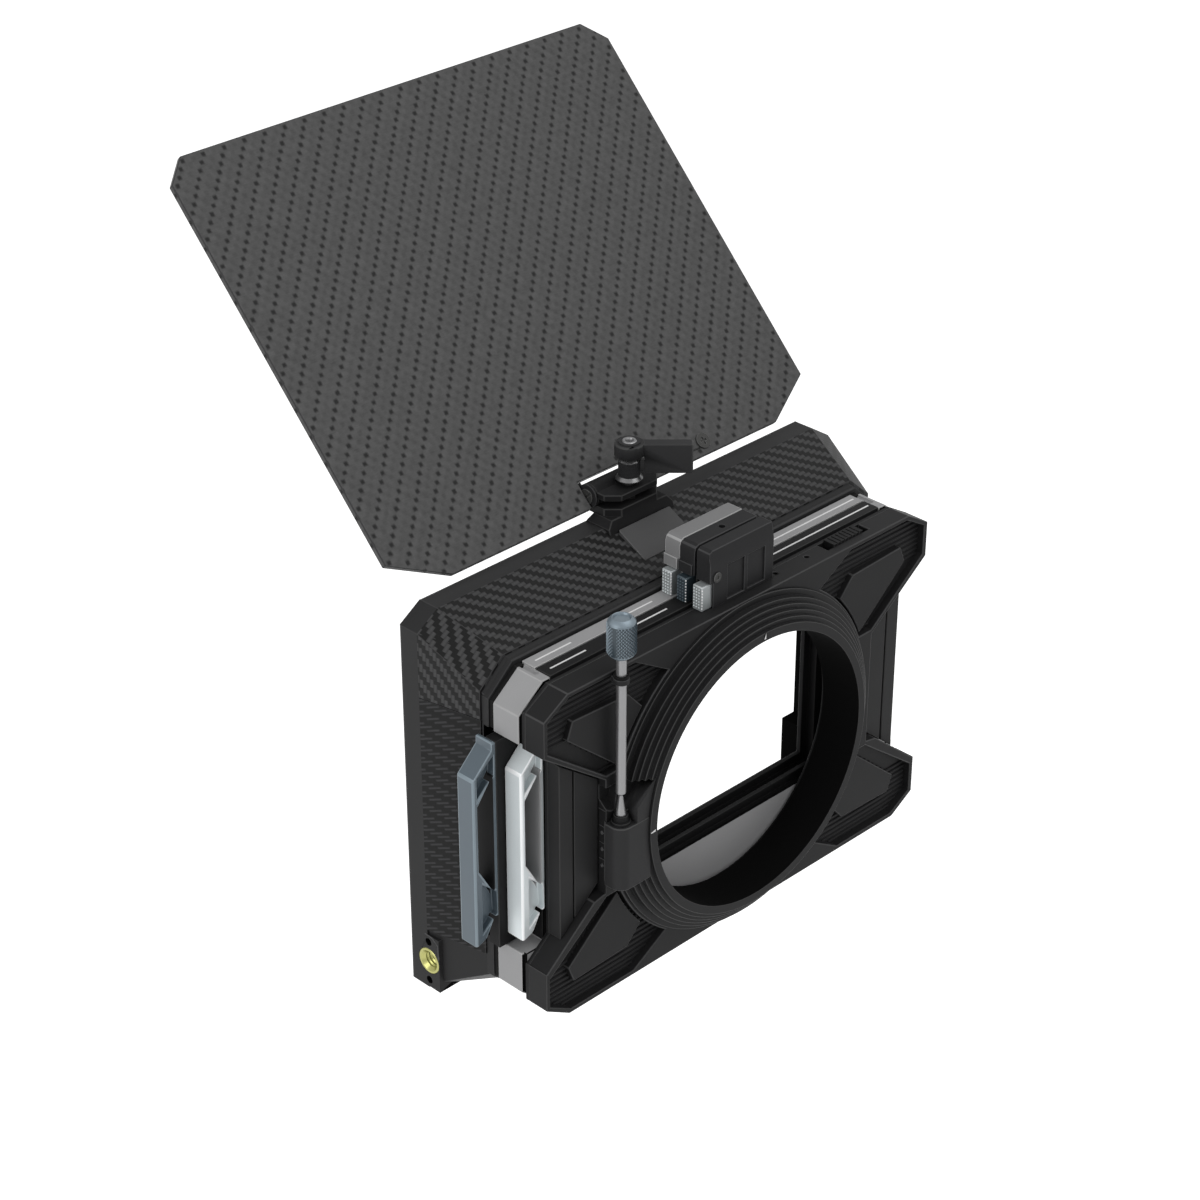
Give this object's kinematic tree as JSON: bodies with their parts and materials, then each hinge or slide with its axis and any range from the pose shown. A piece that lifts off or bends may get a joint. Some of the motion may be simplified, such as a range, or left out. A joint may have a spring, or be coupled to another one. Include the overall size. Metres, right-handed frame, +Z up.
{
  "type": "matte box",
  "caption": "Clip-on camera matte box with a tapered hood, tilting top flag, side filter trays with loop handles, top locks, and a geared filter ring turned by a rod.",
  "frame": {"origin": "centre of the lens bore at the rear end of its ring", "axes": "+Y back along the lens axis, towards the camera; -Y to the scene; +Z up; +X to the side of the tray handles"},
  "size_m": [0.1946, 0.1693, 0.256],
  "materials": {
    "black_alloy": "matte anodised black",
    "dark_alloy": "matte black",
    "carbon": "carbon twill, satin",
    "grey_alloy": "fine matte grey",
    "silver_alloy": "satin anodised",
    "blue_alloy": "satin anodised blue-grey",
    "steel": "satin",
    "dark_steel": "blackened",
    "brass": "machined",
    "rubber": "matte",
    "white_paint": "matte",
    "panel_grey": "matte",
    "bronze": "machined"
  },
  "bodies": {
    "box": {"hood_shell": "black_alloy", "hood_skin_top": "carbon", "hood_skin_bottom": "carbon", "hood_skin_left": "carbon", "hood_skin_right": "carbon", "hood_gasket": "rubber", "boss_inserts": "brass", "flag_foot": "black_alloy", "foot_panel": "panel_grey", "upper_jaw": "black_alloy", "filter_frame": "grey_alloy", "front_strip": "grey_alloy", "rear_strip": "black_alloy", "index_lines": "white_paint", "front_layer": "dark_alloy", "back_plate": "black_alloy", "side_panels": "dark_alloy", "lens_ring": "black_alloy", "ring_ticks": "white_paint", "gear_housing": "black_alloy", "housing_cap": "dark_alloy", "rod_guide": "dark_alloy", "guide_washer": "rubber", "lock_front": "grey_alloy", "lock_middle": "dark_alloy", "lock_rear": "dark_alloy", "lock_screw": "dark_steel", "plate_screws": "dark_steel"},
    "flag": {"flag_plate": "carbon", "flag_bracket": "black_alloy", "hinge_pin": "steel", "flag_screws": "dark_steel"},
    "lever": {"clamp_lever": "black_alloy", "clamp_stem": "dark_steel", "lever_screw": "dark_steel"},
    "front_filter_tray": {"front_tray": "dark_alloy", "front_handle": "blue_alloy"},
    "rear_filter_tray": {"rear_tray": "dark_alloy", "rear_handle": "silver_alloy"},
    "turning_ring": {"filter_ring": "dark_steel"},
    "rod": {"adjust_rod": "steel", "rod_worm": "bronze", "rod_knob": "blue_alloy"},
    "front_button": {"button_front": "silver_alloy"},
    "middle_button": {"button_middle": "blue_alloy"},
    "rear_button": {"button_rear": "silver_alloy"},
    "catch": {"release_catch": "dark_alloy"}
  },
  "joints": [
    {"name": "flag_tilt", "type": "hinge", "parent": "box", "child": "flag", "pos_m": [0, -0.0654, 0.0789], "axis": [1, 0, 0], "range_deg": [-44, 46]},
    {"name": "lever_turn", "type": "hinge", "parent": "box", "child": "lever", "pos_m": [0, -0.0596, 0.085], "axis": [0, 0, 1], "range_deg": [-75, 45]},
    {"name": "front_tray_slide", "type": "slide", "parent": "box", "child": "front_filter_tray", "axis": [1, 0, 0], "range_m": [-0.0124, 0.12]},
    {"name": "rear_tray_slide", "type": "slide", "parent": "box", "child": "rear_filter_tray", "axis": [1, 0, 0], "range_m": [0, 0.1324]},
    {"name": "filter_spin", "type": "hinge", "parent": "box", "child": "turning_ring", "pos_m": [0, 0, 0], "axis": [0, 1, 0], "continuous": true},
    {"name": "rod_spin", "type": "hinge", "parent": "box", "child": "rod", "pos_m": [0.0586, -0.005, 0.06], "axis": [0, 0, 1], "continuous": true},
    {"name": "front_button_press", "type": "slide", "parent": "box", "child": "front_button", "axis": [-1, 0, 0], "range_m": [0, 0.002], "stiffness_N_per_m": 400, "springref_m": -0.001},
    {"name": "middle_button_press", "type": "slide", "parent": "box", "child": "middle_button", "axis": [-1, 0, 0], "range_m": [0, 0.002], "stiffness_N_per_m": 400, "springref_m": -0.001},
    {"name": "rear_button_press", "type": "slide", "parent": "box", "child": "rear_button", "axis": [-1, 0, 0], "range_m": [0, 0.002], "stiffness_N_per_m": 400, "springref_m": -0.001},
    {"name": "catch_slide", "type": "slide", "parent": "box", "child": "catch", "axis": [-1, 0, 0], "range_m": [0, 0.0025], "stiffness_N_per_m": 300, "springref_m": -0.001}
  ],
  "couplings": [
    {"joint": "rod_spin", "follows": "filter_spin", "ratio": 20}
  ]
}
